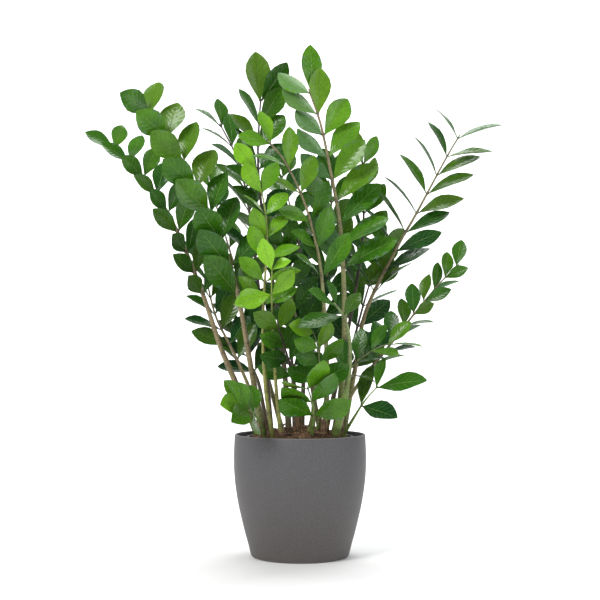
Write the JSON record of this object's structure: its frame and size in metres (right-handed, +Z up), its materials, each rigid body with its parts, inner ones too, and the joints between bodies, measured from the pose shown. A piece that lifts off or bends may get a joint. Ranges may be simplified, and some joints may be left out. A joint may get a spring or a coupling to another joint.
{
  "type": "potted plant",
  "caption": "Tall potted houseplant with thick upright stalks carrying rows of glossy oval leaflets, rooted in soil in a nursery pot inside a round dark plastic pot.",
  "frame": {"origin": "centre of the outer pot's flat underside", "axes": "+Z up along the pot's axis, -Y towards the side shown as the front, +X to its right"},
  "size_m": [0.8098, 0.4421, 0.9609],
  "materials": {
    "outer_pot_plastic": "matte",
    "nursery_pot_plastic": "matte",
    "soil": "matte",
    "rhizome_skin": "matte",
    "sheath_husk": "matte",
    "leaf": "gloss",
    "stalk": "satin"
  },
  "bodies": {
    "root": {"outer_pot": "outer_pot_plastic", "nursery_pot": "nursery_pot_plastic", "soil": "soil", "rhizome_left": "rhizome_skin", "rhizome_right": "rhizome_skin", "rhizome_back": "rhizome_skin", "rhizome_front": "rhizome_skin", "sheath_centre_tall": "sheath_husk", "sheath_centre_arch": "sheath_husk", "sheath_left_front": "sheath_husk", "sheath_bent_shoot": "sheath_husk", "sheath_centre_thin": "sheath_husk", "sheath_lime_short": "sheath_husk", "sheath_right_low_arch": "sheath_husk", "frond_left_arch": "leaf", "frond_left_front": "leaf", "frond_back_left_tall": "leaf", "frond_centre_left_tall": "leaf", "frond_centre_tall": "leaf", "frond_centre_arch": "leaf", "frond_right_mid_tall": "leaf", "frond_right_arch": "leaf", "frond_right_low_arch": "leaf", "frond_right_low_thin": "leaf", "frond_right_bottom": "leaf", "frond_bent_shoot": "leaf", "frond_lime_tall": "leaf", "frond_lime_short": "leaf", "frond_left_bottom": "leaf", "frond_centre_bottom": "leaf", "frond_centre_thin": "leaf", "frond_centre_right_thin": "leaf", "frond_centre_brown": "leaf", "frond_back_dark": "leaf", "frond_left_low": "leaf", "frond_left_low_dark": "leaf", "frond_centre_back": "leaf", "frond_right_back": "leaf", "frond_left_back": "leaf", "frond_centre_back_low": "leaf"}
  },
  "joints": []
}
